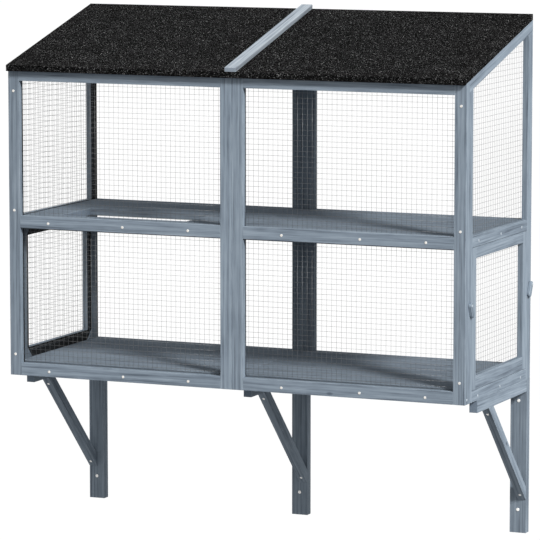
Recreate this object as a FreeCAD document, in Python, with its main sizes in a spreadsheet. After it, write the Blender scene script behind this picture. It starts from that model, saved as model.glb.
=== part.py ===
import FreeCAD, Part
import math
import os
import re
import Sketcher

# Two-bay outdoor cat run that hangs on a wall. Wooden frames carry welded mesh, a lift-off
# mesh door closes each end of the lower storey and three brackets hold the box up.
# The origin lies on the wall, midway between the four outer wall screws: +X to the right,
# +Y into the wall, +Z up.

doc = FreeCAD.newDocument("wall_cat_run")
sheet = doc.addObject("Spreadsheet::Sheet", "Sizes")

# Driving sizes in millimetres. Depths count from the face of the front frames, heights
# from the underside of the box.
SIZES = {
    # the box
    "bay_width": 600,
    "box_depth": 461,
    # front frames
    "front_thick": 20,
    "stile_width": 30,
    "bottom_rail": 31,
    "middle_rail_low": 366,
    "middle_rail": 32,
    "top_rail": 26.9,
    # welded mesh: how far its edges reach into the timbers, and how far the front panels'
    # groove lies behind the front faces
    "mesh_lap": 9,
    "mesh_set": 12.6,
    "mesh_wire": 0.6,
    "mesh_pitch": 12.7,
    # side frames
    "side_thick": 16,
    "side_front_post": 25.3,
    "side_rear_post": 30,
    "rake_height": 26.5,
    "side_bottom_rail": 27,
    "side_middle_low": 369,
    "side_middle_rail": 27,
    # lift-off doors
    "door_gap": 1,
    "door_stile": 26,
    "door_top_rail": 26.5,
    "door_bottom_rail": 32,
    "door_seat": 0.3,
    # strips inside the side frames that the doors close on
    "stop_thick": 4,
    "stop_width": 27,
    "stop_lap": 8,
    "stop_corner": 27,
    # turn buttons
    "button_reach": 24,
    "button_width": 16,
    "button_thick": 7,
    "button_gap": 0.3,
    "button_lean": 24,
    "pivot_height": 234,
    "pivot_offset": 20.5,
    "pivot_radius": 2,
    "pivot_play": 0.1,
    "pivot_depth": 12,
    "pivot_head_radius": 3.6,
    "pivot_head_height": 2,
    # floor, shelf and the bearers under them
    "board_thick": 18,
    "bearer_height": 17,
    "bearer_width": 20,
    "centre_bearer_width": 30,
    "shelf_low": 377,
    "shelf_centre_bearer": 11,
    "shelf_rear_bearer": 20,
    "hatch_left": 103,
    "hatch_front": 73,
    "hatch_long": 344,
    "hatch_deep": 175,
    # timbers at the back and under the roof
    "rear_post_width": 60,
    "rear_post_thick": 18,
    "header_thick": 18,
    "header_height": 30,
    "rafter_width": 30,
    # roof
    "roof_front_height": 757.5,
    "roof_slope": 15.1,
    "roof_overhang": 12,
    "roof_board": 12.4,
    "felt_thick": 2.4,
    "batten_width": 30,
    "batten_thick": 10,
    "batten_shift": 2.5,
    # wall brackets
    "upright_width": 42,
    "upright_thick": 22,
    "upright_long": 386,
    "arm_width": 21,
    "arm_height": 31,
    "arm_long": 352,
    "strut_reach": 272,
    "strut_thick": 24,
    "middle_bracket_shift": 7,
    "wall_hole_radius": 3,
    "high_hole_drop": 55,
    "low_hole_drop": 328,
    # screws
    "head_radius": 3.4,
    "head_height": 1,
    "core_radius": 1.7,
    "screw_long": 34,
    "strut_screw_long": 36,
    "stile_screw_inset": 14,
    "corner_screw_inset": 13,
    # how far a cutter runs past the face that it opens
    "overrun": 1,
}
for row, (name, size) in enumerate(SIZES.items(), 1):
    sheet.set(f"A{row}", name)
    sheet.set(f"B{row}", str(size))
    sheet.setAlias(f"B{row}", name)
doc.recompute()

# Screw places as shares of the member that they follow.
STILE_SCREW_SHARES = (0.069, 0.542, 0.931)
LEFT_RAIL_SCREW_SHARES = (0.178, 0.515, 0.807)
RIGHT_RAIL_SCREW_SHARES = (0.2175, 0.554, 0.833)
SIDE_SCREW_SHARES = (0.11, 0.51, 0.895)
STRUT_SCREW_SHARES = (0.07, 0.945)
BEARER_SCREW_SHARE = 0.75
SIDE_BEARER_SCREW_SHARE = 0.65
SHELF_SCREW_SHARE = 0.23

# From the mount's middle up to the box's underside.
HANG = "(low_hole_drop + high_hole_drop) / 2"
VECTOR = FreeCAD.Vector


def named(text):
    """Points each size word of an expression at its cell."""
    return re.sub(r"[a-z]+(?:_[a-z]+)*", lambda word: word.group() if word.group() not in SIZES
                  else "Sizes." + word.group(), text)


def value(text):
    """Works an expression out now, for a shape that is made here."""
    return float(sheet.evalExpression(named(text)))


def bind(thing, path, text):
    """Ties one property to the sheet."""
    thing.setExpression(path, named(text))


def roof_at(depth):
    """Height of the roof's underside at a depth behind the front face."""
    return f"(roof_front_height + ({depth}) * tan(roof_slope))"


def board(label, x, y, z, long, deep, tall):
    """A sawn board or a square cutter."""
    box = doc.addObject("Part::Box", label)
    bind(box, "Length", long)
    bind(box, "Width", deep)
    bind(box, "Height", tall)
    bind(box, "Placement.Base.x", x)
    bind(box, "Placement.Base.y", f"{y} - box_depth")
    bind(box, "Placement.Base.z", f"{z} + {HANG}")
    return box


def profile(label, x, wide, points):
    """A timber with this outline in the side view, wide in X."""
    body = doc.addObject("PartDesign::Body", label)
    sketch = body.newObject("Sketcher::SketchObject", f"{label}_outline")
    plane = [item for item in body.Origin.OriginFeatures if item.Role == "YZ_Plane"][0]
    sketch.AttachmentSupport = [(plane, "")]
    sketch.MapMode = "FlatFace"
    corners = [VECTOR(value(y), value(z), 0) for y, z in points]
    count = len(corners)
    for i in range(count):
        sketch.addGeometry(Part.LineSegment(corners[i], corners[(i + 1) % count]), False)
    for i in range(count):
        sketch.addConstraint(Sketcher.Constraint("Coincident", i, 2, (i + 1) % count, 1))
    for i, (y, z) in enumerate(points):
        across = sketch.addConstraint(Sketcher.Constraint("DistanceX", -1, 1, i, 1, corners[i].x))
        bind(sketch, f"Constraints[{across}]", y)
        upward = sketch.addConstraint(Sketcher.Constraint("DistanceY", -1, 1, i, 1, corners[i].y))
        bind(sketch, f"Constraints[{upward}]", z)
    pad = body.newObject("PartDesign::Pad", f"{label}_pad")
    pad.Profile = sketch
    bind(pad, "Length", wide)
    bind(body, "Placement.Base.x", x)
    bind(body, "Placement.Base.y", "-box_depth")
    bind(body, "Placement.Base.z", HANG)
    return body


def group(label, pieces):
    """Separate solids kept together."""
    compound = doc.addObject("Part::Compound", label)
    compound.Links = pieces
    return compound


def less(label, blank, cutters):
    """The blank with its grooves, rebates, notches or holes cut."""
    cut = doc.addObject("Part::Cut", label)
    cut.Base = blank
    cut.Tool = cutters[0] if len(cutters) == 1 else group(f"{label}_cutters", cutters)
    return cut


def made(label, shape):
    """A shape of many small solids, moved to the mount's frame."""
    feature = doc.addObject("Part::Feature", label)
    feature.Shape = shape
    feature.Placement = FreeCAD.Placement(VECTOR(0, -value("box_depth"), value(HANG)),
                                          FreeCAD.Rotation())
    return feature


nodes = {}

# Wood screws bite into the timbers, which aren't bored for them. One pattern screw stands
# on the origin with its head below, kept twelve-sided, and its six-sided core above.
HEAD_SIDES = 12
CORE_SIDES = 6


def flat_sided(label, sides, radius, height):
    """A short bar with flat sides, its foot on the origin."""
    bar = doc.addObject("Part::Prism", label)
    bar.Polygon = sides
    bind(bar, "Circumradius", radius)
    bind(bar, "Height", height)
    return bar


def pattern_screw(label, long):
    """The screw that a group repeats."""
    head = flat_sided(f"{label}_head", HEAD_SIDES, "head_radius", "head_height")
    bind(head, "Placement.Base.z", "-head_height")
    core = flat_sided(f"{label}_core", CORE_SIDES, "core_radius", long)
    whole = doc.addObject("Part::Fuse", label)
    whole.Base = head
    whole.Tool = core
    return whole


WOOD_SCREW = pattern_screw("wood_screw", "screw_long")
STRUT_SCREW = pattern_screw("strut_screw", "strut_screw_long")
PIVOT_HEAD = flat_sided("pivot_head", HEAD_SIDES, "pivot_head_radius", "pivot_head_height")
doc.recompute()


def driven(pattern, x, y, z, direction):
    """A copy of the pattern screw, its head on the surface and its core along direction."""
    copy = pattern.Shape.copy()
    turn = FreeCAD.Rotation(VECTOR(0, 0, 1), direction)
    copy.Placement = FreeCAD.Placement(VECTOR(x, y, z), turn)
    return copy


INWARD = VECTOR(0, 1, 0)
BAY = value("bay_width")
SHELF_SCREW = value("shelf_low") + SHELF_SCREW_SHARE * value("board_thick")
BEARER_SCREW = BEARER_SCREW_SHARE * value("bearer_height")
front_screws = []
for side in (-1, 1):
    x = side * (BAY - value("stile_screw_inset"))
    for share in STILE_SCREW_SHARES:
        height = share * value("roof_front_height")
        front_screws.append(driven(WOOD_SCREW, x, 0, height, INWARD))
for start, shares in ((-BAY, LEFT_RAIL_SCREW_SHARES), (0, RIGHT_RAIL_SCREW_SHARES)):
    for share in shares:
        for height in (SHELF_SCREW, BEARER_SCREW):
            front_screws.append(driven(WOOD_SCREW, start + share * BAY, 0, height, INWARD))
nodes["front_screws"] = made("front_screws", Part.makeCompound(front_screws))

SIDE_START = value("front_thick + side_front_post")
SIDE_SPAN = value("box_depth - side_rear_post") - SIDE_START
SIDE_BEARER_SCREW = SIDE_BEARER_SCREW_SHARE * value("bearer_height")
side_screws = []
for side in (-1, 1):
    across = VECTOR(-side, 0, 0)
    for share in SIDE_SCREW_SHARES:
        y = SIDE_START + share * SIDE_SPAN
        for height in (SHELF_SCREW, SIDE_BEARER_SCREW):
            side_screws.append(driven(WOOD_SCREW, side * BAY, y, height, across))
    corner = value("corner_screw_inset")
    side_screws.append(driven(WOOD_SCREW, side * BAY, corner, SIDE_BEARER_SCREW, across))
nodes["side_screws"] = made("side_screws", Part.makeCompound(side_screws))

# The three brackets stand flush with the box's ends and near its middle. Each arm and
# strut lines up with the outer half of its upright, the middle ones with the right half.
BRACKETS = {
    "left": ("-bay_width", "0 * arm_width"),
    "middle": ("-middle_bracket_shift - upright_width / 2", "upright_width - arm_width"),
    "right": ("bay_width - upright_width", "upright_width - arm_width"),
}
UPRIGHT_FRONT = "(box_depth - upright_thick)"
strut_screws = []
REACH = value("strut_reach")
SLANT = VECTOR(0, 1, 1)
for x, offset in BRACKETS.values():
    middle = value(f"{x} + {offset} + arm_width / 2")
    for share in STRUT_SCREW_SHARES:
        y = value(f"{UPRIGHT_FRONT} - strut_reach") + share * REACH
        z = -value("arm_height") - share * REACH
        strut_screws.append(driven(STRUT_SCREW, middle, y, z, SLANT))
nodes["strut_screws"] = made("strut_screws", Part.makeCompound(strut_screws))

# Bracket uprights with two wall-screw holes each, arms under the box and 45 degree struts.
arms = []
struts = []
for name, (x, offset) in BRACKETS.items():
    blank = board(f"{name}_upright_blank", x, UPRIGHT_FRONT, "-upright_long",
                  "upright_width", "upright_thick", "upright_long")
    holes = []
    for drop in ("high_hole_drop", "low_hole_drop"):
        hole = doc.addObject("Part::Cylinder", f"{name}_{drop}")
        hole.Placement = FreeCAD.Placement(VECTOR(), FreeCAD.Rotation(VECTOR(1, 0, 0), -90))
        bind(hole, "Radius", "wall_hole_radius")
        bind(hole, "Height", "upright_thick + 2 * overrun")
        bind(hole, "Placement.Base.x", f"{x} + upright_width / 2")
        bind(hole, "Placement.Base.y", "-upright_thick - overrun")
        bind(hole, "Placement.Base.z", f"{HANG} - {drop}")
        holes.append(hole)
    node = f"{name}_bracket_upright"
    nodes[node] = less(node, blank, holes)
    left = f"{x} + {offset}"
    arms.append(board(f"{name}_arm", left, f"{UPRIGHT_FRONT} - arm_long", "-arm_height",
                      "arm_width", "arm_long", "arm_height"))
    top = "-arm_height"
    mitre = "strut_thick * sqrt(2)"
    struts.append(profile(f"{name}_strut", left, "arm_width", (
        (f"{UPRIGHT_FRONT} - strut_reach", top),
        (f"{UPRIGHT_FRONT} - strut_reach + {mitre}", top),
        (UPRIGHT_FRONT, f"{top} - strut_reach + {mitre}"),
        (UPRIGHT_FRONT, f"{top} - strut_reach"),
    )))
nodes["bracket_arms"] = group("bracket_arms", arms)
nodes["bracket_struts"] = group("bracket_struts", struts)

# Mesh wires lie in two layers, the upright ones outside and the level ones inside, and
# together they fill the groove or rebate round an opening.
WIRE = value("mesh_wire")
LAP = value("mesh_lap")
PITCH = value("mesh_pitch")


def spread(start, end):
    """Wire places at the mesh pitch, centred between two edges."""
    count = int((end - start - WIRE) // PITCH)
    first = (start + end - count * PITCH) / 2
    return [first + i * PITCH for i in range(count + 1)]


def front_mesh(label, left, right, low, high):
    """Mesh for one front opening, its edges let into the frame."""
    x0 = value(left) - LAP
    x1 = value(right) + LAP
    z0 = value(low) - LAP
    z1 = value(high) + LAP
    inner = value("mesh_set") + WIRE
    wires = []
    for x in spread(x0, x1):
        place = VECTOR(x - WIRE / 2, inner - WIRE, z0)
        wires.append(Part.makeBox(WIRE, WIRE, z1 - z0, place))
    for z in spread(z0, z1):
        place = VECTOR(x0, inner, z - WIRE / 2)
        wires.append(Part.makeBox(x1 - x0, WIRE, WIRE, place))
    return made(label, Part.makeCompound(wires))


def side_mesh(label, side, inset, front, back, low, high_front, rise):
    """Mesh for an end opening whose top edge climbs by rise per millimetre of depth."""
    y0 = value(front) - LAP
    y1 = value(back) + LAP
    z0 = value(low) - LAP
    top = value(high_front) + LAP - rise * LAP
    inner = BAY - inset
    wires = []
    for y in spread(y0, y1):
        high = top + rise * (y - WIRE / 2 - y0)
        place = VECTOR(inner + WIRE if side > 0 else -inner - 2 * WIRE, y - WIRE / 2, z0)
        wires.append(Part.makeBox(WIRE, WIRE, high - z0, place))
    for z in spread(z0, top + rise * (y1 - y0)):
        start = y0
        if rise > 0:
            start = max(y0, y0 + (z + WIRE / 2 - top) / rise)
        if y1 - start < PITCH / 2:
            continue
        place = VECTOR(inner if side > 0 else -inner - WIRE, start, z - WIRE / 2)
        wires.append(Part.makeBox(WIRE, y1 - start, WIRE, place))
    return made(label, Part.makeCompound(wires))


# Front frames: in each bay two stiles, three rails and a mesh panel for each storey. A
# groove in the inner edges round each opening takes the mesh.
OPENINGS = {
    "lower": ("bottom_rail", "middle_rail_low"),
    "upper": ("middle_rail_low + middle_rail", "(roof_front_height - top_rail)"),
}
for bay, start in (("left", "-bay_width"), ("right", "0 * bay_width")):
    left = f"{start} + stile_width"
    right = f"{start} + bay_width - stile_width"
    cutters = {"left": [], "right": [], "bottom": [], "middle": [], "top": []}
    for storey, (low, high) in OPENINGS.items():
        tag = f"{bay}_{storey}"
        groove = board(f"{tag}_groove", f"{left} - mesh_lap", "mesh_set", f"{low} - mesh_lap",
                       f"{right} - ({left}) + 2 * mesh_lap", "2 * mesh_wire",
                       f"{high} - ({low}) + 2 * mesh_lap")
        below, above = ("bottom", "middle") if storey == "lower" else ("middle", "top")
        for member in ("left", "right", below, above):
            cutters[member].append(groove)
        node = f"{tag}_mesh"
        nodes[node] = front_mesh(node, left, right, low, high)
    for hand, x in (("left", start), ("right", right)):
        node = f"{bay}_bay_{hand}_stile"
        blank = profile(f"{node}_blank", x, "stile_width", (
            ("0 * front_thick", "0 * bottom_rail"),
            ("front_thick", "0 * bottom_rail"),
            ("front_thick", roof_at("front_thick")),
            ("0 * front_thick", roof_at("0 * front_thick")),
        ))
        nodes[node] = less(node, blank, cutters[hand])
    span = f"{right} - ({left})"
    node = f"{bay}_bottom_rail"
    blank = board(f"{node}_blank", left, "0", "0", span, "front_thick", "bottom_rail")
    nodes[node] = less(node, blank, cutters["bottom"])
    node = f"{bay}_middle_rail"
    blank = board(f"{node}_blank", left, "0", "middle_rail_low", span, "front_thick",
                  "middle_rail")
    nodes[node] = less(node, blank, cutters["middle"])
    node = f"{bay}_top_rail"
    blank = profile(f"{node}_blank", left, span, (
        ("0 * front_thick", "roof_front_height - top_rail"),
        ("front_thick", "roof_front_height - top_rail"),
        ("front_thick", roof_at("front_thick")),
        ("0 * front_thick", roof_at("0 * front_thick")),
    ))
    nodes[node] = less(node, blank, cutters["top"])

# Side frames, lift-off doors with their stops, and the turn buttons that hold the doors.
# Both ends are alike: a front and a rear post under a sloping rake, two rails between them.
POST_BACK = "(front_thick + side_front_post)"
POST_FRONT = "(box_depth - side_rear_post)"
SIDE_MIDDLE_TOP = "side_middle_low + side_middle_rail"
DOOR_FRONT = f"({POST_BACK} + door_gap)"
DOOR_BACK = f"({POST_FRONT} - door_gap)"
DOOR_LOW = "(side_bottom_rail + door_gap)"
DOOR_HIGH = "(side_middle_low - door_gap)"
FLOOR_TOP = "(bearer_height + board_thick)"
pivot_screws = []
stops = []
for side, sign in (("left", -1), ("right", 1)):
    inner = "bay_width - side_thick"
    x = "-bay_width" if sign < 0 else inner
    pocket_wide = "2 * mesh_wire + overrun"
    pocket_x = f"-({inner}) - 2 * mesh_wire" if sign < 0 else f"{inner} - overrun"
    lap_front = f"{POST_BACK} - mesh_lap"
    lap_back = f"{POST_FRONT} + mesh_lap"
    pocket = profile(f"{side}_side_rebate", pocket_x, pocket_wide, (
        (lap_front, f"{SIDE_MIDDLE_TOP} - mesh_lap"),
        (lap_back, f"{SIDE_MIDDLE_TOP} - mesh_lap"),
        (lap_back, f"{roof_at(lap_back)} - rake_height + mesh_lap"),
        (lap_front, f"{roof_at(lap_front)} - rake_height + mesh_lap"),
    ))
    pivots = [(f"{DOOR_FRONT} - pivot_offset", 1, "front"), (f"{DOOR_BACK} + pivot_offset", -1, "rear")]
    for y, toward, place in pivots:
        out = VECTOR(sign, 0, 0)
        foot = VECTOR(sign * (BAY - value("pivot_depth")), value(y), value("pivot_height"))
        shank_long = value("pivot_depth + button_gap + button_thick + pivot_play")
        shank = Part.makeCylinder(value("pivot_radius"), shank_long, foot, out)
        under_head = foot + out * shank_long
        head = driven(PIVOT_HEAD, under_head.x, under_head.y, under_head.z, out)
        pivot_screws.append(shank.fuse(head))
    node = f"{side}_side_front_post"
    blank = profile(f"{node}_blank", x, "side_thick", (
        ("front_thick", "0 * front_thick"),
        (POST_BACK, "0 * front_thick"),
        (POST_BACK, f"{roof_at(POST_BACK)} - rake_height"),
        ("front_thick", f"{roof_at('front_thick')} - rake_height"),
    ))
    nodes[node] = less(node, blank, [pocket])
    node = f"{side}_side_rear_post"
    blank = profile(f"{node}_blank", x, "side_thick", (
        (POST_FRONT, "0 * front_thick"),
        ("box_depth", "0 * front_thick"),
        ("box_depth", f"{roof_at('box_depth')} - rake_height"),
        (POST_FRONT, f"{roof_at(POST_FRONT)} - rake_height"),
    ))
    nodes[node] = less(node, blank, [pocket])
    node = f"{side}_side_rake"
    blank = profile(f"{node}_blank", x, "side_thick", (
        ("front_thick", f"{roof_at('front_thick')} - rake_height"),
        ("box_depth", f"{roof_at('box_depth')} - rake_height"),
        ("box_depth", roof_at("box_depth")),
        ("front_thick", roof_at("front_thick")),
    ))
    nodes[node] = less(node, blank, [pocket])
    span = f"{POST_FRONT} - {POST_BACK}"
    node = f"{side}_side_bottom_rail"
    nodes[node] = board(node, x, POST_BACK, "0", "side_thick", span, "side_bottom_rail")
    node = f"{side}_side_middle_rail"
    blank = board(f"{node}_blank", x, POST_BACK, "side_middle_low", "side_thick", span,
                  "side_middle_rail")
    nodes[node] = less(node, blank, [pocket])
    node = f"{side}_side_mesh"
    nodes[node] = side_mesh(node, sign, value("side_thick"), POST_BACK, POST_FRONT,
                            SIDE_MIDDLE_TOP, f"{roof_at(POST_BACK)} - rake_height",
                            math.tan(math.radians(value("roof_slope"))))

    # The door lies flush with the side frame and stands just off its stops.
    thick = "(side_thick - door_seat)"
    door_x = "-bay_width" if sign < 0 else f"bay_width - {thick}"
    low = f"({DOOR_LOW} + door_bottom_rail)"
    high = f"({DOOR_HIGH} - door_top_rail)"
    front = f"({DOOR_FRONT} + door_stile)"
    back = f"({DOOR_BACK} - door_stile)"
    pocket_x = f"-bay_width + {thick} - 2 * mesh_wire" if sign < 0 else f"{door_x} - overrun"
    pocket = board(f"{side}_door_rebate", pocket_x, f"{front} - mesh_lap", f"{low} - mesh_lap",
                   pocket_wide, f"{back} - {front} + 2 * mesh_lap", f"{high} - {low} + 2 * mesh_lap")
    tall = f"{DOOR_HIGH} - {DOOR_LOW}"
    stiles = []
    for place, y in (("front", DOOR_FRONT), ("rear", back)):
        blank = board(f"{side}_door_{place}_blank", door_x, y, DOOR_LOW, thick, "door_stile", tall)
        stiles.append(less(f"{side}_door_{place}_stile", blank, [pocket]))
    nodes[f"{side}_door_stiles"] = group(f"{side}_door_stiles", stiles)
    rails = []
    for place, z, rail in (("bottom", DOOR_LOW, "door_bottom_rail"), ("top", high, "door_top_rail")):
        blank = board(f"{side}_door_{place}_blank", door_x, front, z, thick, f"{back} - {front}", rail)
        rails.append(less(f"{side}_door_{place}_rail", blank, [pocket]))
    nodes[f"{side}_door_rails"] = group(f"{side}_door_rails", rails)
    node = f"{side}_door_mesh"
    nodes[node] = side_mesh(node, sign, value(thick), front, back, low, high, 0)

    # Each stop is one flat strip whose ends widen into 45 degree corners.
    stop_x = "-bay_width + side_thick" if sign < 0 else f"{inner} - stop_thick"
    for place, edge, toward in (("front", DOOR_FRONT, "+"), ("rear", DOOR_BACK, "-")):
        away = "-" if toward == "+" else "+"
        lip = f"{edge} {toward} stop_lap"
        outer = f"{lip} {away} stop_width"
        corner = f"{lip} {toward} stop_corner"
        stops.append(profile(f"{side}_{place}_stop", stop_x, "stop_thick", (
            (outer, FLOOR_TOP),
            (corner, FLOOR_TOP),
            (lip, f"{FLOOR_TOP} + stop_corner"),
            (lip, "side_middle_low - stop_corner"),
            (corner, "side_middle_low"),
            (outer, "side_middle_low"),
        )))

    # A turn button is a round-ended bar on a screw through its upper end.
    for y, toward, place in pivots:
        node = f"{side}_{place}_button"
        bar = doc.addObject("Part::Box", f"{node}_bar")
        bind(bar, "Length", "button_thick")
        bind(bar, "Width", "button_width")
        bind(bar, "Height", "button_reach")
        bind(bar, "Placement.Base.y", "-button_width / 2")
        bind(bar, "Placement.Base.z", "-button_reach")
        ends = []
        for end, z in (("upper", "0 * button_reach"), ("lower", "-button_reach")):
            round_end = doc.addObject("Part::Cylinder", f"{node}_{end}_end")
            round_end.Placement = FreeCAD.Placement(VECTOR(), FreeCAD.Rotation(VECTOR(0, 1, 0), 90))
            bind(round_end, "Radius", "button_width / 2")
            bind(round_end, "Height", "button_thick")
            bind(round_end, "Placement.Base.z", z)
            ends.append(round_end)
        blank = doc.addObject("Part::MultiFuse", f"{node}_blank")
        blank.Shapes = [bar] + ends
        blank.Refine = True
        bore = doc.addObject("Part::Cylinder", f"{node}_bore")
        bore.Placement = FreeCAD.Placement(VECTOR(), FreeCAD.Rotation(VECTOR(0, 1, 0), 90))
        bind(bore, "Radius", "pivot_radius + pivot_play")
        bind(bore, "Height", "button_thick + 2 * overrun")
        bind(bore, "Placement.Base.x", "-overrun")
        button = less(node, blank, [bore])
        button.Placement = FreeCAD.Placement(VECTOR(), FreeCAD.Rotation(VECTOR(toward, 0, 0), 1))
        bind(button, "Placement.Rotation.Angle", "button_lean")
        edge = "-bay_width - button_gap - button_thick" if sign < 0 else "bay_width + button_gap"
        bind(button, "Placement.Base.x", edge)
        bind(button, "Placement.Base.y", f"{y} - box_depth")
        bind(button, "Placement.Base.z", f"pivot_height + {HANG}")
        nodes[node] = button
nodes["button_screws"] = made("button_screws", Part.makeCompound(pivot_screws))
nodes["door_stops"] = group("door_stops", stops)

# Rear centre post, header behind the open top edge and the rafter over the bays' joint.
POST_Y = "(box_depth - rear_post_thick)"
HEADER_Y = f"({POST_Y} - header_thick)"
nodes["rear_centre_post"] = profile("rear_centre_post", "-rear_post_width / 2", "rear_post_width", (
    (POST_Y, "0 * rear_post_width"),
    ("box_depth", "0 * rear_post_width"),
    ("box_depth", roof_at("box_depth")),
    (POST_Y, roof_at(POST_Y)),
))
nodes["rear_header"] = profile("rear_header", "-bay_width + side_thick", "2 * (bay_width - side_thick)", (
    (HEADER_Y, f"{roof_at(HEADER_Y)} - header_height"),
    (POST_Y, f"{roof_at(HEADER_Y)} - header_height"),
    (POST_Y, roof_at(POST_Y)),
    (HEADER_Y, roof_at(HEADER_Y)),
))
nodes["centre_rafter"] = profile("centre_rafter", "-rafter_width / 2", "rafter_width", (
    ("front_thick", f"{roof_at('front_thick')} - rake_height"),
    (HEADER_Y, f"{roof_at(HEADER_Y)} - rake_height"),
    (HEADER_Y, roof_at(HEADER_Y)),
    ("front_thick", roof_at("front_thick")),
))

# Floor and shelf: one board per bay, notched round the rear centre post. The left shelf
# has the hatch that a cat climbs through.
INSIDE = "(bay_width - side_thick)"
boards = (("floor", "bearer_height"), ("shelf", "shelf_low"))
for level, low in boards:
    for bay, x in (("left", f"-{INSIDE}"), ("right", "0 * bay_width")):
        node = f"{bay}_{level}"
        blank = board(f"{node}_blank", x, "front_thick", low, INSIDE,
                      "box_depth - front_thick", "board_thick")
        notch_x = "-rear_post_width / 2" if bay == "left" else "-overrun"
        notch = board(f"{node}_notch", notch_x, POST_Y, f"{low} - overrun",
                      "rear_post_width / 2 + overrun", "rear_post_thick + overrun",
                      "board_thick + 2 * overrun")
        cutters = [notch]
        if node == "left_shelf":
            cutters.append(board("hatch", "hatch_left - bay_width", "hatch_front", f"{low} - overrun",
                                 "hatch_long", "hatch_deep", "board_thick + 2 * overrun"))
        nodes[node] = less(node, blank, cutters)

# Bearers under the floor run round the edge and along the joint between the bays.
HALF_CENTRE = "centre_bearer_width / 2"
FLOOR_BEARER = "bearer_height"
REAR_BEARER_Y = "box_depth - bearer_width"
run = "box_depth - front_thick"
floor_pieces = [
    board("left_floor_bearer", f"-{INSIDE}", "front_thick", "0", "bearer_width", run, FLOOR_BEARER),
    board("right_floor_bearer", f"{INSIDE} - bearer_width", "front_thick", "0", "bearer_width",
          run, FLOOR_BEARER),
]
front_long = f"{INSIDE} - bearer_width - {HALF_CENTRE}"
rear_long = f"{INSIDE} - bearer_width - rear_post_width / 2"
for bay, x, rear_x in (("left", f"-{INSIDE} + bearer_width", f"-{INSIDE} + bearer_width"),
                       ("right", HALF_CENTRE, "rear_post_width / 2")):
    floor_pieces.append(board(f"{bay}_front_bearer", x, "front_thick", "0", front_long,
                              "bearer_width", FLOOR_BEARER))
    floor_pieces.append(board(f"{bay}_rear_bearer", rear_x, REAR_BEARER_Y, "0", rear_long,
                              "bearer_width", FLOOR_BEARER))
centre_run = f"{POST_Y} - front_thick"
floor_pieces.append(board("centre_floor_bearer", f"-{HALF_CENTRE}", "front_thick", "0",
                          "centre_bearer_width", centre_run, FLOOR_BEARER))
nodes["floor_bearers"] = group("floor_bearers", floor_pieces)

# Bearers under the shelf: one at the back of each bay and one along the joint.
SHELF_REAR = "(shelf_low - shelf_rear_bearer)"
shelf_long = f"{INSIDE} - stop_thick - rear_post_width / 2"
shelf_pieces = [board("centre_shelf_bearer", f"-{HALF_CENTRE}", "front_thick",
                      "shelf_low - shelf_centre_bearer", "centre_bearer_width", centre_run,
                      "shelf_centre_bearer")]
for bay, x in (("left", f"-{INSIDE} + stop_thick"), ("right", "rear_post_width / 2")):
    shelf_pieces.append(board(f"{bay}_shelf_bearer", x, REAR_BEARER_Y, SHELF_REAR, shelf_long,
                              "bearer_width", "shelf_rear_bearer"))
nodes["shelf_bearers"] = group("shelf_bearers", shelf_pieces)

# Roof: one board per bay under mineral felt that turns down over the front and outer
# edges, and a batten over the joint.
EAVE = "-roof_overhang"
BOARD_RISE = "roof_board / cos(roof_slope)"
COVER_RISE = "(roof_board + felt_thick) / cos(roof_slope)"
BATTEN_RISE = "(roof_board + felt_thick + batten_thick) / cos(roof_slope)"
BOARD_EAVE = f"({EAVE} + felt_thick)"
for bay, cover_x, board_x in (("left", "-bay_width", "-bay_width + felt_thick"),
                              ("right", "0 * bay_width", "0 * bay_width")):
    node = f"{bay}_roof_board"
    nodes[node] = profile(node, board_x, "bay_width - felt_thick", (
        (BOARD_EAVE, roof_at(BOARD_EAVE)),
        ("box_depth", roof_at("box_depth")),
        ("box_depth", f"{roof_at('box_depth')} + {BOARD_RISE}"),
        (BOARD_EAVE, f"{roof_at(BOARD_EAVE)} + {BOARD_RISE}"),
    ))
    cover = profile(f"{bay}_roof_cover", cover_x, "bay_width", (
        (EAVE, roof_at(EAVE)),
        ("box_depth", roof_at("box_depth")),
        ("box_depth", f"{roof_at('box_depth')} + {COVER_RISE}"),
        (EAVE, f"{roof_at(EAVE)} + {COVER_RISE}"),
    ))
    nodes[f"{bay}_roof_felt"] = less(f"{bay}_roof_felt", cover, [nodes[node]])
nodes["roof_batten"] = profile("roof_batten", "batten_shift - batten_width / 2", "batten_width", (
    (EAVE, f"{roof_at(EAVE)} + {COVER_RISE}"),
    ("box_depth", f"{roof_at('box_depth')} + {COVER_RISE}"),
    ("box_depth", f"{roof_at('box_depth')} + {BATTEN_RISE}"),
    (EAVE, f"{roof_at(EAVE)} + {BATTEN_RISE}"),
))

doc.recompute()
for thing in doc.Objects:
    if "Invalid" in thing.State or "Error" in thing.State:
        raise RuntimeError(f"{thing.Label} did not build: {thing.State}")
for node, thing in nodes.items():
    if thing.Shape.isNull() or not thing.Shape.isValid():
        raise RuntimeError(f"{node} has no valid shape")
    thing.Label = node

os.makedirs("parts", exist_ok=True)
for node, thing in nodes.items():
    thing.Shape.exportStep(f"parts/{node}.step")
    print(node, len(thing.Shape.Solids), round(thing.Shape.Volume))
print(len(nodes), "pieces written")
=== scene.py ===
import math
import random

import bmesh
import bpy
from mathutils import Matrix, Vector


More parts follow.
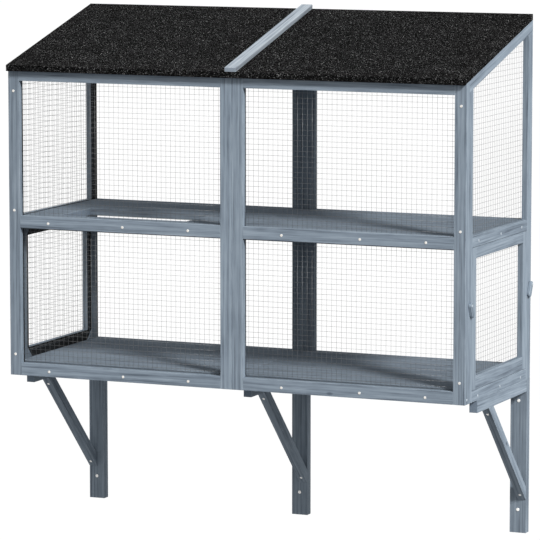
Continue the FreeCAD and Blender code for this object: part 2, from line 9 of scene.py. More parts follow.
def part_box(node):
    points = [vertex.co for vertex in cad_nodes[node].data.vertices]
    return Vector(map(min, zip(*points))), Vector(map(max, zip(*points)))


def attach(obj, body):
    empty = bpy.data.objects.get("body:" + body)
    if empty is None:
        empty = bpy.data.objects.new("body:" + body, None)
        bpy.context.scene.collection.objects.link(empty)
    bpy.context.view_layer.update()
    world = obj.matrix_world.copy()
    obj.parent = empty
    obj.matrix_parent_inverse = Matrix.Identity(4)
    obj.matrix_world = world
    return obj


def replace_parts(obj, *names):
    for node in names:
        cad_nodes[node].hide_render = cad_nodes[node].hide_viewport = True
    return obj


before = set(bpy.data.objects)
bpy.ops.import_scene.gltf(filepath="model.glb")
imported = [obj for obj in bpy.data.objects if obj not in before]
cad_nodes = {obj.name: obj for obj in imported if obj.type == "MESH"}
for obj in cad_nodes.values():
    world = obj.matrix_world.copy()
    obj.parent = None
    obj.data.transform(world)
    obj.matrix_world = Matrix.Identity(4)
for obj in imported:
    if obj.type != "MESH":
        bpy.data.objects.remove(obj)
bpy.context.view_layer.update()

# Front frames. Each bay is a fir frame of two stiles and three rails, planed, stained a
# slate blue that lets the grain show, and screwed together flush. A groove in the inner
# edges takes the mesh, and every arris is eased by hand with fine paper.
ALONG_X = Vector((1, 0, 0))
ALONG_Y = Vector((0, 1, 0))
ALONG_Z = Vector((0, 0, 1))

EASED = 0.0008
EASED_STEPS = 2
LOWER_ROUND = 0.003
LOWER_ROUND_STEPS = 6
HALF_GROOVE = 0.0007
ARRIS_ANGLE = 0.35
FLAT_ANGLE = 0.003
SAME_POINT = 0.00001
SAME_PLACE = 0.0001
SAME_PLANE = 0.000001
SQUARE_ON = 0.9
PARTLY_RIGHT = 0.3
FULLY_DOWN = -0.97
PARTLY_DOWN = -0.25
GRAIN_SHIFT = 4

mesh_low, mesh_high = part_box("left_lower_mesh")
MESH_PLANE = (mesh_low.y + mesh_high.y) / 2
end_low, end_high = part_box("right_side_front_post")
RIGHT_END_X = (end_low.x + end_high.x) / 2

FIR_GLOSS = 0.03
FIR_ROUGHNESS = ((0.35, 0.68), (0.65, 0.54))
TIMBER_TONES = ((0.0, 0.97), (1.0, 1.03))
KNOT_EDGE = ((0.0, 0.9), (0.03, 0.7), (0.06, 0))
RUBBED_PATCHES = ((0.42, 0), (0.6, 0.75))
# Painted shade on the rounded lower front arris of the middle rails.
ROUND_SHADE = 0.8
# For each bay, the painted shade on the left stile's lip behind the mesh, and how far that stile
# is darkened all over.
LEFT_STILE_SHADES = {"left": (1.0, 0.13), "right": (0.7, 0.0)}
STAIN = (
    (0.37, (0.105, 0.130, 0.162)),
    (0.445, (0.170, 0.208, 0.252)),
    (0.50, (0.216, 0.262, 0.314)),
    (0.555, (0.250, 0.301, 0.356)),
    (0.64, (0.310, 0.365, 0.425)))
STAINED_END_GRAIN = ((0.3, (0.125, 0.160, 0.205)), (0.7, (0.215, 0.265, 0.325)))
STAINED_KNOT = (0.085, 0.105, 0.135)
STAINED_ARRIS = (0.30, 0.355, 0.41)
DEEP_SHADE = (0.010, 0.011, 0.012)
NODE_GAP = 250
NODES_ACROSS = 8


def fill(tree, node, inputs):
    """Puts numbers, colours or other nodes' outputs on the inputs of a node."""
    for name, source in inputs.items():
        socket = node.inputs[name]
        if isinstance(source, bpy.types.NodeSocket):
            tree.links.new(source, socket)
        elif socket.type == "RGBA":
            socket.default_value = (*source, 1)
        else:
            socket.default_value = source


def put(tree, kind, inputs, **settings):
    """A new node with its settings and inputs, laid out after the others."""
    made = tree.nodes.new(kind)
    row, column = divmod(len(tree.nodes), NODES_ACROSS)
    made.location = (column * NODE_GAP, -row * NODE_GAP)
    for name, setting in settings.items():
        setattr(made, name, setting)
    fill(tree, made, inputs)
    return made


def worked_out(tree, operation, *numbers):
    """What an operation makes of numbers or of other nodes' outputs."""
    inputs = dict(enumerate(numbers))
    return put(tree, "ShaderNodeMath", inputs, operation=operation).outputs[0]


def carried(tree, name, output="Fac"):
    """What the mesh itself carries under a name."""
    return put(tree, "ShaderNodeAttribute", {}, attribute_name=name).outputs[output]


def object_place(tree):
    """The place on the piece."""
    return put(tree, "ShaderNodeTexCoord", {}).outputs["Object"]


def drawn_out(tree, place, along, through=1):
    """The place shrunk along the grain, which draws a pattern out, and through the timber."""
    inputs = {"Vector": place, "Scale": (along, 1, through)}
    return put(tree, "ShaderNodeMapping", inputs).outputs["Vector"]


def noise(tree, place, scale, detail, rough=0.5, lean=0.0):
    """Cloudy noise."""
    inputs = {"Vector": place, "Scale": scale, "Detail": detail, "Roughness": rough,
              "Distortion": lean}
    return put(tree, "ShaderNodeTexNoise", inputs).outputs["Fac"]


def bands(tree, factor, stops):
    """A ramp of greys or colours from its stops."""
    ramp = put(tree, "ShaderNodeValToRGB", {"Fac": factor})
    ends = ramp.color_ramp.elements
    while len(ends) < len(stops):
        ends.new(0.5)
    for end, (place, colour) in zip(ends, stops):
        end.position = place
        end.color = (*colour, 1) if isinstance(colour, tuple) else (colour, colour, colour, 1)
    return ramp.outputs["Color"]


def blended(tree, kind, factor, first, second):
    """Two colours mixed by a number or by another node's output."""
    inputs = {0: factor, 6: first, 7: second}
    return put(tree, "ShaderNodeMix", inputs, data_type="RGBA", blend_type=kind).outputs[2]


def bumped(tree, height, strength, distance):
    """The normal of a surface with a fine relief."""
    inputs = {"Height": height, "Strength": strength, "Distance": distance}
    return put(tree, "ShaderNodeBump", inputs).outputs["Normal"]


def new_finish(name):
    """An empty finish, its nodes and its main shader."""
    finish = bpy.data.materials.new(name)
    finish.use_nodes = True
    return finish, finish.node_tree, finish.node_tree.nodes["Principled BSDF"]


def fir_figure(tree, place):
    """The whole grain of fir, and two of its layers: the streaks and the mottle."""
    broad = noise(tree, drawn_out(tree, place, 0.06), scale=28, detail=2)
    streaks = noise(tree, drawn_out(tree, place, 0.035), scale=170, detail=4, rough=0.6, lean=0.25)
    fibres = noise(tree, drawn_out(tree, place, 0.02), scale=330, detail=4, rough=0.62)
    mottle = noise(tree, drawn_out(tree, place, 0.35), scale=60, detail=3)
    waves = {"Vector": drawn_out(tree, place, 0.05, 0.7), "Scale": 30, "Distortion": 9,
             "Detail": 3, "Detail Scale": 0.7}
    rings = put(tree, "ShaderNodeTexWave", waves, wave_type="BANDS", bands_direction="Y")
    figure = 0.0
    for layer, weight in ((broad, 0.12), (streaks, 0.34), (fibres, 0.38),
                          (rings.outputs["Fac"], 0.06), (mottle, 0.10)):
        figure = worked_out(tree, "MULTIPLY_ADD", layer, weight, figure)
    return figure, streaks, mottle


def knotted(tree, place, colour):
    """The colour with a few dark knots."""
    cells = {"Vector": drawn_out(tree, place, 0.45), "Scale": 12}
    knots = put(tree, "ShaderNodeTexVoronoi", cells, feature="F1")
    knot = bands(tree, knots.outputs["Distance"], KNOT_EDGE)
    return blended(tree, "MIX", knot, colour, STAINED_KNOT)


def sawn_across(tree, place, colour):
    """The colour with porous end grain where the timber is cut across."""
    pores = bands(tree, noise(tree, place, scale=900, detail=3, rough=0.7), STAINED_END_GRAIN)
    return blended(tree, "MIX", carried(tree, "end_grain"), colour, pores)


def rubbed(tree, mottle, colour):
    """The colour with the arrises rubbed paler in patches."""
    patches = bands(tree, mottle, RUBBED_PATCHES)
    worn = worked_out(tree, "MULTIPLY", carried(tree, "arris"), patches)
    return blended(tree, "MIX", worn, colour, STAINED_ARRIS)


def toned_with_painted_lighting(tree, painted_lighting, colour):
    """The colour a touch lighter or darker from timber to timber, and by any painted light or
    shade.
    """
    stops = [(end, tuple(part * share for part in painted_lighting)) for end, share in TIMBER_TONES]
    return blended(tree, "MULTIPLY", 1.0, colour, bands(tree, carried(tree, "tone"), stops))


def stained_fir(name, gloss, painted_lighting=(1.0, 1.0, 1.0)):
    """Slate blue stain on fir: growth bands, fine fibres, a few knots, rubbed arrises, and painted
    light and shade.
    """
    finish, tree, shader = new_finish(name)
    place = carried(tree, "grain_place", "Vector")
    figure, streaks, mottle = fir_figure(tree, place)
    colour = knotted(tree, place, bands(tree, figure, STAIN))
    colour = sawn_across(tree, place, colour)
    colour = rubbed(tree, mottle, colour)
    colour = toned_with_painted_lighting(tree, painted_lighting, colour)
    # The mesh carries, face by face, how far the colour is painted darker towards deep shade.
    colour = blended(tree, "MIX", carried(tree, "dark_side"), colour, DEEP_SHADE)
    fill(tree, shader, {
        "Base Color": colour,
        "Roughness": bands(tree, streaks, FIR_ROUGHNESS),
        "Specular IOR Level": gloss,
        "Normal": bumped(tree, figure, strength=0.35, distance=0.0004)})
    return finish


def solids(shape):
    """The separate solids of a shape, as lists of faces."""
    left = set(shape.faces)
    found = []
    for start in shape.faces:
        if start not in left:
            continue
        left.discard(start)
        reached = [start]
        for face in reached:
            for edge in face.edges:
                for other in edge.link_faces:
                    if other in left:
                        left.discard(other)
                        reached.append(other)
        found.append(reached)
    return found


def clean_copy(node):
    """A copy of a CAD solid with its loose triangles joined into whole faces."""
    shape = bmesh.new()
    shape.from_mesh(cad_nodes[node].data)
    bmesh.ops.remove_doubles(shape, verts=shape.verts, dist=SAME_POINT)
    bmesh.ops.dissolve_limit(shape, angle_limit=FLAT_ANGLE, verts=shape.verts, edges=shape.edges)
    return shape


def piece_of(name, shape, finish, body):
    """The finished piece, riding on its body."""
    mesh = bpy.data.meshes.new(name)
    shape.to_mesh(mesh)
    shape.free()
    mesh.materials.append(finish)
    piece = bpy.data.objects.new(name, mesh)
    bpy.context.scene.collection.objects.link(piece)
    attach(piece, body)
    return piece


def rounded(shape, edges, radius, segments):
    """Rounds edges off and gives the faces that this makes."""
    made = bmesh.ops.bevel(shape, geom=edges, offset=radius, segments=segments, profile=0.5,
                           affect="EDGES", material=-1, clamp_overlap=True)
    return made["faces"]


def by_groove(edge):
    """The crisp edges that the groove's saw leaves beside the front mesh."""
    return all(abs(vert.co.y - MESH_PLANE) < HALF_GROOVE for vert in edge.verts)


def dressed(name, shape, along, body="run", dark=None, finish=None):
    """Eases the arrises of timber and lays its grain along one direction.

    The dark function says for each face how far its colour is darkened towards deep shade.
    """
    arrises = [edge for edge in shape.edges
               if edge.is_convex and edge.calc_face_angle(0) > ARRIS_ANGLE and not by_groove(edge)]
    edge_faces = set(rounded(shape, arrises, EASED, EASED_STEPS))
    arris = shape.loops.layers.float.new("arris")
    sawn = shape.loops.layers.float.new("end_grain")
    dark_side = shape.loops.layers.float.new("dark_side")
    place = shape.verts.layers.float_vector.new("grain_place")
    tone = shape.verts.layers.float.new("tone")
    side = along.orthogonal().normalized() if abs(along.x) > SQUARE_ON else ALONG_X
    frame_of = Matrix((along, side, along.cross(side)))
    chance = random.Random(name)
    for faces in solids(shape):
        shift = Vector([chance.uniform(-GRAIN_SHIFT, GRAIN_SHIFT) for _ in range(3)])
        lift = chance.random()
        for vert in {vert for face in faces for vert in face.verts}:
            vert[place] = frame_of @ vert.co + shift
            vert[tone] = lift
        for face in faces:
            across = face not in edge_faces and abs(face.normal.dot(along)) > SQUARE_ON
            for loop in face.loops:
                loop[arris] = 1 if face in edge_faces else 0
                loop[sawn] = 1 if across else 0
                loop[dark_side] = dark(face) if dark else 0
    return piece_of(name, shape, finish or fir, body)


def timber(node, along, body="run", dark=None, finish=None):
    """One CAD timber, dressed and standing for its node."""
    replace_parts(dressed(f"{node}_stained", clean_copy(node), along, body, dark, finish), node)


def inner_right_side(face):
    """Faces behind the mesh that look to the right, which take painted deep shade."""
    middle = face.calc_center_median()
    return face.normal.x > PARTLY_RIGHT and middle.x < RIGHT_END_X and middle.y > MESH_PLANE


def stile(node, lip=0.0, overall_darkening=0.0):
    """A stile, parted at the mesh, with painted shade on its lip behind the mesh and its own
    darkening all over.
    """
    shape = clean_copy(node)
    bmesh.ops.bisect_plane(shape, geom=shape.verts[:] + shape.edges[:] + shape.faces[:],
                           dist=SAME_PLANE, plane_co=(0, MESH_PLANE, 0), plane_no=ALONG_Y,
                           use_snap_center=False, clear_outer=False, clear_inner=False)
    piece = dressed(f"{node}_stained", shape, ALONG_Z,
                    dark=lambda face: lip if inner_right_side(face) else overall_darkening)
    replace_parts(piece, node)


def rounded_rail(node):
    """A middle rail, with its lower front arris rounded further and given painted shade."""
    shape = clean_copy(node)
    low = min(vert.co.z for vert in shape.verts) + SAME_PLACE
    front = min(vert.co.y for vert in shape.verts) + SAME_PLACE
    lower_front = [edge for edge in shape.edges
                   if all(vert.co.z < low and vert.co.y < front for vert in edge.verts)]
    rounded(shape, lower_front, LOWER_ROUND, LOWER_ROUND_STEPS)
    piece = dressed(
        f"{node}_stained", shape, ALONG_X,
        dark=lambda face: ROUND_SHADE if FULLY_DOWN < face.normal.z < PARTLY_DOWN else 0.0)
    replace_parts(piece, node)


fir = stained_fir("stained_fir", FIR_GLOSS)
for bay, (lip, overall_darkening) in LEFT_STILE_SHADES.items():
    stile(f"{bay}_bay_left_stile", lip, overall_darkening)
    stile(f"{bay}_bay_right_stile")
    for level in ("bottom", "top"):
        timber(f"{bay}_{level}_rail", ALONG_X)
    rounded_rail(f"{bay}_middle_rail")

# Welded mesh. Panels of half-inch galvanised mesh of 0.6 mm wire, upright wires outside and
# level wires inside, fused where they cross. The front panels sit in their frames'
# grooves, and the upper panels of the ends are stapled into a recess inside theirs.
WIRE = 0.0006
WIRE_SIDES = 8
PITCH = 0.0127
SINK = 0.00004
ROUNDING = 0.000001
SPANGLE = ((0.0, (0.15, 0.152, 0.155)), (1.0, (0.24, 0.242, 0.245)))
MILKY_PATCHES = ((0.35, (0.86, 0.87, 0.88)), (0.65, 1.0))
ZINC_ROUGHNESS = ((0.3, 0.36), (0.7, 0.55))


def zinc():
    """Weathered zinc with a faint spangle, duller in cloudy patches."""
    finish, tree, shader = new_finish("galvanised_wire")
    place = object_place(tree)
    crystals = put(tree, "ShaderNodeTexVoronoi", {"Vector": place, "Scale": 420})
    cloud = noise(tree, place, scale=60, detail=4)
    grey = bands(tree, crystals.outputs["Color"], SPANGLE)
    fill(tree, shader, {
        "Base Color": blended(tree, "MULTIPLY", 1.0, grey, bands(tree, cloud, MILKY_PATCHES)),
        "Roughness": bands(tree, cloud, ZINC_ROUGHNESS),
        "Metallic": 0.55,
        "Normal": bumped(tree, cloud, strength=0.2, distance=0.00008)})
    return finish


def wire(shape, start, end):
    """One straight drawn wire."""
    run = end - start
    place = Matrix.LocRotScale((start + end) / 2, run.to_track_quat("Z", "Y"), None)
    bmesh.ops.create_cone(shape, cap_ends=True, segments=WIRE_SIDES, radius1=WIRE / 2,
                          radius2=WIRE / 2, depth=run.length, matrix=place)


def spread(start, end):
    """Wire places at the mesh pitch, centred between two edges."""
    count = int((end - start - WIRE) / PITCH + ROUNDING)
    first = (start + end - count * PITCH) / 2
    return [first + i * PITCH for i in range(count + 1)]


def mesh_panel(node, shape, body):
    """The finished panel standing for its node."""
    for face in shape.faces:
        face.smooth = len(face.verts) == 4
    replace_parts(piece_of(f"{node}_wires", shape, galvanised, body), node)


def front_mesh(node):
    """Mesh of a front opening."""
    low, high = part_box(node)
    outer = low.y + WIRE / 2 + SINK
    inner = high.y - WIRE / 2
    shape = bmesh.new()
    for x in spread(low.x, high.x):
        wire(shape, Vector((x, outer, low.z)), Vector((x, outer, high.z)))
    for z in spread(low.z, high.z):
        wire(shape, Vector((low.x, inner, z)), Vector((high.x, inner, z)))
    mesh_panel(node, shape, "run")


galvanised = zinc()
for bay in ("left", "right"):
    front_mesh(f"{bay}_lower_mesh")
    front_mesh(f"{bay}_upper_mesh")

# Side frames. Each end has a front and a rear post under a rake that climbs with the
# roof, a bottom and a middle rail, and welded mesh in the upper opening. They are
# butted and screwed against the backs of the front frames.
SLOPE = math.radians(15.1)
UP_THE_ROOF = Vector((0, math.cos(SLOPE), math.sin(SLOPE)))


def end_mesh(node, body, rise):
    """Mesh of an end opening whose top edge climbs by rise for each metre of depth."""
    low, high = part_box(node)
    if low.x > 0:
        upright_x, level_x = high.x - WIRE / 2 - SINK, low.x + WIRE / 2
    else:
        upright_x, level_x = low.x + WIRE / 2 + SINK, high.x - WIRE / 2
    places = spread(low.y, high.y)
    top = high.z - rise * (places[-1] - WIRE / 2 - low.y)
    shape = bmesh.new()
    for y in places:
        reach = top + rise * (y - WIRE / 2 - low.y)
        wire(shape, Vector((upright_x, y, low.z)), Vector((upright_x, y, reach)))
    for z in spread(low.z, top + rise * (high.y - low.y)):
        start = low.y
        if rise > 0:
            start = max(start, low.y + (z + WIRE / 2 - top) / rise)
        if high.y - start > PITCH / 2:
            wire(shape, Vector((level_x, start, z)), Vector((level_x, high.y, z)))
    mesh_panel(node, shape, body)


# The ends' faces behind the mesh that look to the right are painted in deep shade.
for side in ("left", "right"):
    for part, along in (("front_post", ALONG_Z), ("rear_post", ALONG_Z), ("rake", UP_THE_ROOF),
                        ("bottom_rail", ALONG_Y), ("middle_rail", ALONG_Y)):
        timber(f"{side}_side_{part}", along, dark=inner_right_side)
    end_mesh(f"{side}_side_mesh", "run", math.tan(SLOPE))

# Lift-off doors. A small mesh door closes each end of the lower storey: two stiles, two
# rails and a panel of the same mesh. It stands loose in the side frame and lifts away
# sideways once its turn buttons are turned.
# The doors' faces behind the mesh that look to the right are painted in deep shade.
for side in ("left", "right"):
    body = f"{side}_door"
    timber(f"{side}_door_stiles", ALONG_Z, body, inner_right_side)
    timber(f"{side}_door_rails", ALONG_Y, body, inner_right_side)
    end_mesh(f"{side}_door_mesh", body, 0)

# Door stops. Thin strips of the same fir, nailed and glued to the inner faces of the
# posts, with 45 degree ends, so that the doors have something to close against.
# The stops' faces behind the mesh that look to the right take painted shade, half way to deep
# shade.
STOP_SHADE = 0.52

timber("door_stops", ALONG_Z, dark=lambda face: STOP_SHADE if inner_right_side(face) else 0.0)

# Turn buttons. Round-ended bars of stained fir, each turning on one screw through its
# upper end, and left leaning over the door's edge.
LEAN = math.radians(24)

for side in ("left", "right"):
    for place, toward in (("front", 1), ("rear", -1)):
        node = f"{side}_{place}_button"
        timber(node, Vector((0, -toward * math.sin(LEAN), math.cos(LEAN))), node)

# Timbers at the back and under the roof: the wide post behind the joint of the bays, the
# header along the open top edge and the rafter that carries the joint of the boards. The
# post stands in the deepest shade, and more shade is painted all over it.
CENTRE_POST_SHADE = 0.34

timber("rear_centre_post", ALONG_Z, dark=lambda face: CENTRE_POST_SHADE)
timber("rear_header", ALONG_X)
timber("centre_rafter", UP_THE_ROOF)

# Floor and shelf. One glued fir board per bay on each level, notched round the rear
# centre post, painted a touch darker all over for the shade inside the box and with more
# painted shade at the front edge, behind the rail. The left shelf has the hatch that a cat
# climbs through.
BOARD_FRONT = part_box("left_floor")[0].y
BOARD_GLOSS = 0.0
# The boards are painted a touch darker all over for the shade inside the box, and their front
# edges take painted shade.
BOARD_PAINTED_SHADE = (0.89, 0.88, 0.87)
EDGE_SHADES = {"floor": 0.45, "shelf": 0.85}


def front_edge(face):
    """Whether a face belongs to a board's front edge."""
    near = face.calc_center_median().y < BOARD_FRONT + EASED
    return near and face.normal.y < -SQUARE_ON


board_fir = stained_fir("stained_fir_boards", BOARD_GLOSS, BOARD_PAINTED_SHADE)
for bay in ("left", "right"):
    for level, shade in EDGE_SHADES.items():
        timber(f"{bay}_{level}", ALONG_X, dark=lambda face: shade if front_edge(face) else 0.0,
               finish=board_fir)

# Bearers. Square battens glued and screwed under the boards, round the edge of the floor
# and along the joint of the bays, with shorter ones at the back of the shelf.
BEARER = 0.020
HALF_CENTRE = 0.015


def plank(shape, low, high):
    """A sawn batten between two corners."""
    low, high = Vector(low), Vector(high)
    place = Matrix.LocRotScale((low + high) / 2, None, high - low)
    bmesh.ops.create_cube(shape, size=1, matrix=place)


floor_low, floor_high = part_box("floor_bearers")
post_low, post_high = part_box("rear_centre_post")
under, over = floor_low.z, floor_high.z
left_end, right_end = floor_low.x + BEARER, floor_high.x - BEARER
front_inside, rear_inside = floor_low.y + BEARER, floor_high.y - BEARER

shape = bmesh.new()
plank(shape, (floor_low.x, floor_low.y, under), (left_end, floor_high.y, over))
plank(shape, (right_end, floor_low.y, under), (floor_high.x, floor_high.y, over))
plank(shape, (-HALF_CENTRE, floor_low.y, under), (HALF_CENTRE, post_low.y, over))
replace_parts(dressed("floor_bearers_fore_and_aft", shape, ALONG_Y), "floor_bearers")

shape = bmesh.new()
plank(shape, (left_end, floor_low.y, under), (-HALF_CENTRE, front_inside, over))
plank(shape, (left_end, rear_inside, under), (post_low.x, floor_high.y, over))
plank(shape, (HALF_CENTRE, floor_low.y, under), (right_end, front_inside, over))
plank(shape, (post_high.x, rear_inside, under), (right_end, floor_high.y, over))
dressed("floor_bearers_lengthwise", shape, ALONG_X)
timber("shelf_bearers", ALONG_X)

# Roof. A fir board over each bay under mineral felt, which turns down over the front and
# the outer edges, and a batten nailed over the joint to keep the rain out. The batten is
# painted paler all over, standing in for the strong light on its top, with painted shade
# on its right face.
FELT_FOLD = 0.0011
FELT_FOLD_STEPS = 3
FELT_GRANULES = (
    (0.0, 0.0003), (0.35, 0.001), (0.6, 0.004), (0.8, 0.014), (0.93, 0.048), (1.0, 0.19))
FELT_CLUSTERS = ((0.0, 0.55), (0.6, 0.8), (0.9, 1.5), (1.0, 3.2))
FELT_PATCHES = ((0.3, 0.75), (0.7, 1.25))
FELT_ROUGHNESS = ((0.0, 0.75), (1.0, 0.95))
FELT_GLOSS = 0.008
# Painted shade on the batten's right face; a paler colour all over stands in for the strong light
# on its top.
BATTEN_SHADE = 0.30
BATTEN_PAINTED_LIGHT = (1.36, 1.27, 1.19)


def chips(tree, place, scale, stops):
    """Angular chips that each take one tone, and the distance from their middles."""
    cells = put(tree, "ShaderNodeTexVoronoi", {"Vector": place, "Scale": scale})
    parted = put(tree, "ShaderNodeSeparateColor", {"Color": cells.outputs["Color"]})
    return bands(tree, parted.outputs[0], stops), cells.outputs["Distance"]


def mineral_felt():
    """Bitumen felt under crushed slate: near black, with scattered pale granules."""
    finish, tree, shader = new_finish("mineral_felt")
    place = object_place(tree)
    fine, fine_shape = chips(tree, place, 740, FELT_GRANULES)
    coarse = chips(tree, place, 400, FELT_CLUSTERS)[0]
    patches = bands(tree, noise(tree, place, scale=22, detail=4), FELT_PATCHES)
    colour = blended(tree, "MULTIPLY", 1.0, fine, coarse)
    fill(tree, shader, {
        "Base Color": blended(tree, "MULTIPLY", 1.0, colour, patches),
        "Roughness": bands(tree, fine_shape, FELT_ROUGHNESS),
        "Specular IOR Level": FELT_GLOSS,
        "Normal": bumped(tree, fine_shape, strength=0.6, distance=0.0006)})
    return finish


felt = mineral_felt()
for bay in ("left", "right"):
    timber(f"{bay}_roof_board", ALONG_X)
    node = f"{bay}_roof_felt"
    shape = clean_copy(node)
    folds = [edge for edge in shape.edges
             if len(edge.link_faces) == 2 and edge.calc_face_angle() > ARRIS_ANGLE]
    rounded(shape, folds, FELT_FOLD, FELT_FOLD_STEPS)
    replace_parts(piece_of(f"{node}_sheet", shape, felt, "run"), node)
timber("roof_batten", UP_THE_ROOF,
       dark=lambda face: BATTEN_SHADE if face.normal.x > SQUARE_ON else 0.0,
       finish=stained_fir("stained_fir_batten", FIR_GLOSS, BATTEN_PAINTED_LIGHT))

# Wall brackets. Three uprights of the same fir carry the box on arms with struts at 45
# degrees between them. Two wall screws hold each upright.
# The right upright is darkened a little all over, towards deep shade.
UPRIGHT_SHADES = {"left": 0.0, "middle": 0.0, "right": 0.12}

for place, shade in UPRIGHT_SHADES.items():
    timber(f"{place}_bracket_upright", ALONG_Z, dark=lambda face: shade)
timber("bracket_arms", ALONG_Y)
timber("bracket_struts", Vector((0, 1, -1)).normalized())

# Screws. Zinc-plated wood screws with a domed head and a cross recess, driven nearly flush:
# pale in the front, painted brighter in the struts and the wall as a painted highlight for
# their glint, and stained over in the ends and where they are the turn buttons' pivots.
FORWARD = Vector((0, -1, 0))
HEAD = 0.0034
RISE = 0.001
PIVOT_HEAD = 0.0036
PIVOT_RISE = 0.002
INSET = 0.00001
RECESS_INSET = 0.00003
HEAD_SIDES = 20
CROSS_ARMS = 4
DOME_SHARES = ((0.97, 0.55), (0.80, 0.30), (0.52, 0.15))
RECESS_SHARE = 0.6
NARROW_SHARE = 0.42
PLATED_ROUGHNESS = ((0.3, 0.30), (0.7, 0.48))


def plated(name, dim, bright):
    """Zinc plating, a little scuffed, bare or with stain brushed over it."""
    finish, tree, shader = new_finish(name)
    cloud = noise(tree, object_place(tree), scale=900, detail=4)
    fill(tree, shader, {
        "Base Color": bands(tree, cloud, ((0.3, dim), (0.7, bright))),
        "Roughness": bands(tree, cloud, PLATED_ROUGHNESS),
        "Metallic": 0.25,
        "Normal": bumped(tree, cloud, strength=0.15, distance=0.00005)})
    return finish


def screw_head(shape, place, outward, radius, rise):
    """A domed head with a sunk cross, standing on the timber and looking outward."""
    head = bmesh.new()
    bmesh.ops.create_circle(head, cap_ends=True, segments=HEAD_SIDES, radius=radius)
    top = next(iter(head.faces))
    if top.normal.z < 0:
        top.normal_flip()
    for width_share, height_share in DOME_SHARES:
        bmesh.ops.inset_region(head, faces=[top], thickness=INSET, use_boundary=True)
        bmesh.ops.translate(head, verts=top.verts, vec=ALONG_Z * height_share * rise)
        reach = sum(vert.co.to_2d().length for vert in top.verts) / HEAD_SIDES
        wanted = width_share * radius / reach
        bmesh.ops.scale(head, verts=top.verts, vec=Vector((wanted, wanted, 1)))
    bmesh.ops.inset_region(head, faces=[top], thickness=RECESS_INSET, use_boundary=True)
    bmesh.ops.translate(head, verts=top.verts, vec=-ALONG_Z * RECESS_SHARE * rise)
    around = sorted(top.verts, key=lambda vert: math.atan2(vert.co.y, vert.co.x))
    for i, vert in enumerate(around):
        if i % (HEAD_SIDES // CROSS_ARMS):
            vert.co.x *= NARROW_SHARE
            vert.co.y *= NARROW_SHARE
    for face in head.faces:
        face.smooth = True
    turn = outward.to_track_quat("Z", "Y").to_matrix().to_4x4()
    bmesh.ops.transform(head, matrix=Matrix.Translation(place) @ turn, verts=head.verts)
    made = bpy.data.meshes.new("head")
    head.to_mesh(made)
    head.free()
    shape.from_mesh(made)
    bpy.data.meshes.remove(made)


def screw_places(node, outward):
    """Where each screw of a CAD group breaks the surface, found from its outer face."""
    places = []
    shape = clean_copy(node)
    for faces in solids(shape):
        verts = {vert for face in faces for vert in face.verts}
        across = sum((vert.co for vert in verts), Vector()) / len(verts)
        way = outward(across)
        reach = max(vert.co.dot(way) for vert in verts)
        rim = [vert.co for vert in verts if reach - vert.co.dot(way) < SAME_PLACE]
        places.append((sum(rim, Vector()) / len(rim), way))
    shape.free()
    return places


def out_of_front(at):
    """The way that a screw in the front looks."""
    return FORWARD


def out_of_end(at):
    """The way that a screw in an end looks, from the side that it is on."""
    return Vector((math.copysign(1, at.x), 0, 0))


def out_of_strut(at):
    """The way that a screw in a strut looks."""
    return Vector((0, -1, -1)).normalized()


pale = plated("plated_screws", (0.66, 0.64, 0.60), (0.86, 0.84, 0.80))
# A paler copy of the same plating: a painted highlight on the screws in the struts and the wall.
bright = plated("screws_with_painted_highlight", (0.88, 0.87, 0.84), (1.0, 0.99, 0.96))
stained = plated("stained_screws", (0.27, 0.32, 0.37), (0.46, 0.51, 0.55))
for node, outward, radius, rise, finish in (
        ("front_screws", out_of_front, HEAD, RISE, pale),
        ("side_screws", out_of_end, HEAD, RISE, stained),
        ("strut_screws", out_of_strut, HEAD, RISE, bright),
        ("button_screws", out_of_end, PIVOT_HEAD, PIVOT_RISE, stained)):
    shape = bmesh.new()
    for at, way in screw_places(node, outward):
        screw_head(shape, at - way * rise, way, radius, rise)
    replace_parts(piece_of(f"{node}_heads", shape, finish, "run"), node)

# Wall screws. Only their heads show, over the holes in the uprights, which lie evenly above
# and below the frame's origin.
WALL_HEAD = 0.0042
WALL_RISE = 0.0014
WALL_SCREW_SPACING = 0.273

shape = bmesh.new()
for place in UPRIGHT_SHADES:
    low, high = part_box(f"{place}_bracket_upright")
    for z in (-WALL_SCREW_SPACING / 2, WALL_SCREW_SPACING / 2):
        at = Vector(((low.x + high.x) / 2, low.y, z))
        screw_head(shape, at, FORWARD, WALL_HEAD, WALL_RISE)
piece_of("wall_screw_heads", shape, bright, "run")

# Studio. A plain pale floor well below the wall-hung box, a white surround, a soft lamp
# from the right front and a broad, weak one from the front.
FLOOR_DEPTH = -1.3
FLOOR_REACH = 90
FLOOR_SQUARES = 4
FLOOR_GLOW = 0.705
FLOOR_GREY = (0.25, 0.25, 0.25)
WHITE = (1.0, 1.0, 1.0)
SKY_LIGHT = 0.5
SKY_SEEN = 1.0
LAMP_DISTANCE = 4


def seen_rays(tree):
    """1 for what the camera, a reflection or glass sees, 0 for the light that spreads."""
    rays = put(tree, "ShaderNodeLightPath", {}).outputs
    seen = worked_out(tree, "MAXIMUM", rays["Is Camera Ray"], rays["Is Glossy Ray"])
    return worked_out(tree, "MAXIMUM", seen, rays["Is Transmission Ray"])


def pale_floor():
    """A dull floor that looks white to the camera and spreads little light."""
    finish, tree, shader = new_finish("pale_floor")
    tree.nodes.remove(shader)
    glow = put(tree, "ShaderNodeEmission", {"Strength": FLOOR_GLOW})
    lit = put(tree, "ShaderNodeBsdfDiffuse", {"Color": FLOOR_GREY})
    shown = put(tree, "ShaderNodeAddShader", {0: glow.outputs[0], 1: lit.outputs[0]})
    plain = put(tree, "ShaderNodeBsdfDiffuse", {"Color": FLOOR_GREY})
    either = put(tree, "ShaderNodeMixShader",
                 {0: seen_rays(tree), 1: plain.outputs[0], 2: shown.outputs[0]})
    fill(tree, tree.nodes["Material Output"], {"Surface": either.outputs[0]})
    return finish


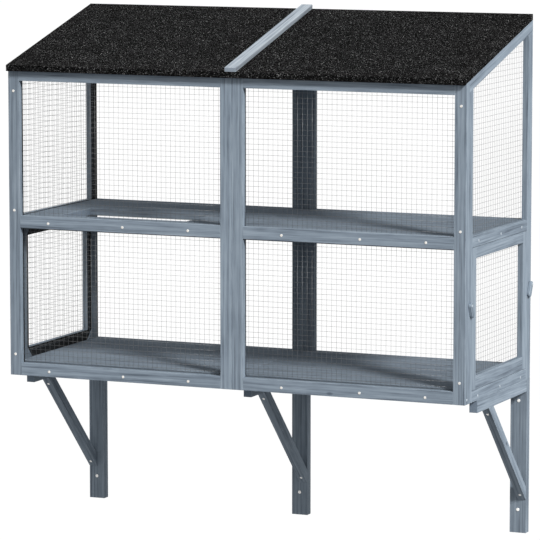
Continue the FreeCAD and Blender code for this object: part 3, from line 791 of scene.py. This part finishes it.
def white_surround():
    """A surround that looks white and lights the object from all sides."""
    world = bpy.data.worlds.new("studio")
    world.use_nodes = True
    tree = world.node_tree
    sky = tree.nodes["Background"]
    fill(tree, sky, {"Color": WHITE, "Strength": SKY_LIGHT})
    white = put(tree, "ShaderNodeBackground", {"Color": WHITE, "Strength": SKY_SEEN})
    either = put(tree, "ShaderNodeMixShader",
                 {0: seen_rays(tree), 1: sky.outputs[0], 2: white.outputs[0]})
    fill(tree, tree.nodes["World Output"], {"Surface": either.outputs[0]})
    return world


def lamp(name, strength, breadth, from_right, from_front, from_above):
    """A far soft lamp that shines from one direction."""
    light = bpy.data.lights.new(name, "SUN")
    light.energy = strength
    light.angle = math.radians(breadth)
    stand = bpy.data.objects.new(name, light)
    way = Vector((from_right, -from_front, from_above)).normalized()
    stand.rotation_euler = way.to_track_quat("Z", "Y").to_euler()
    stand.location = way * LAMP_DISTANCE
    bpy.context.scene.collection.objects.link(stand)


shape = bmesh.new()
bmesh.ops.create_grid(shape, x_segments=FLOOR_SQUARES, y_segments=FLOOR_SQUARES,
                      size=FLOOR_REACH, matrix=Matrix.Translation((0, 0, FLOOR_DEPTH)))
floor_mesh = bpy.data.meshes.new("studio_floor")
shape.to_mesh(floor_mesh)
shape.free()
floor_mesh.materials.append(pale_floor())
floor = bpy.data.objects.new("studio_floor", floor_mesh)
bpy.context.scene.collection.objects.link(floor)
bpy.context.scene.world = white_surround()
lamp("key", strength=3.85, breadth=12, from_right=0.700, from_front=0.430, from_above=0.570)
lamp("fill", strength=0.6, breadth=150, from_right=0.25, from_front=1.0, from_above=0.25)

# Camera. It stands to the right of the front and a little above the middle, far off, with
# the place and the lens that the straight edges in the photograph give.
AZIMUTH = math.radians(23.3975)
ELEVATION = math.radians(7.2340)
CAMERA_PLACE = (3.53094, -8.38813, 1.58446)
LENS = 242.35
SENSOR = 36
FAR_PLANE = 400

camera_data = bpy.data.cameras.new("camera")
camera_data.sensor_width = SENSOR
camera_data.lens = LENS
camera_data.clip_end = FAR_PLANE
camera = bpy.data.objects.new("camera", camera_data)
bpy.context.scene.collection.objects.link(camera)
camera.location = CAMERA_PLACE
camera.rotation_euler = (math.pi / 2 - ELEVATION, 0, AZIMUTH)
bpy.context.scene.camera = camera
bpy.context.scene.view_settings.view_transform = "Standard"
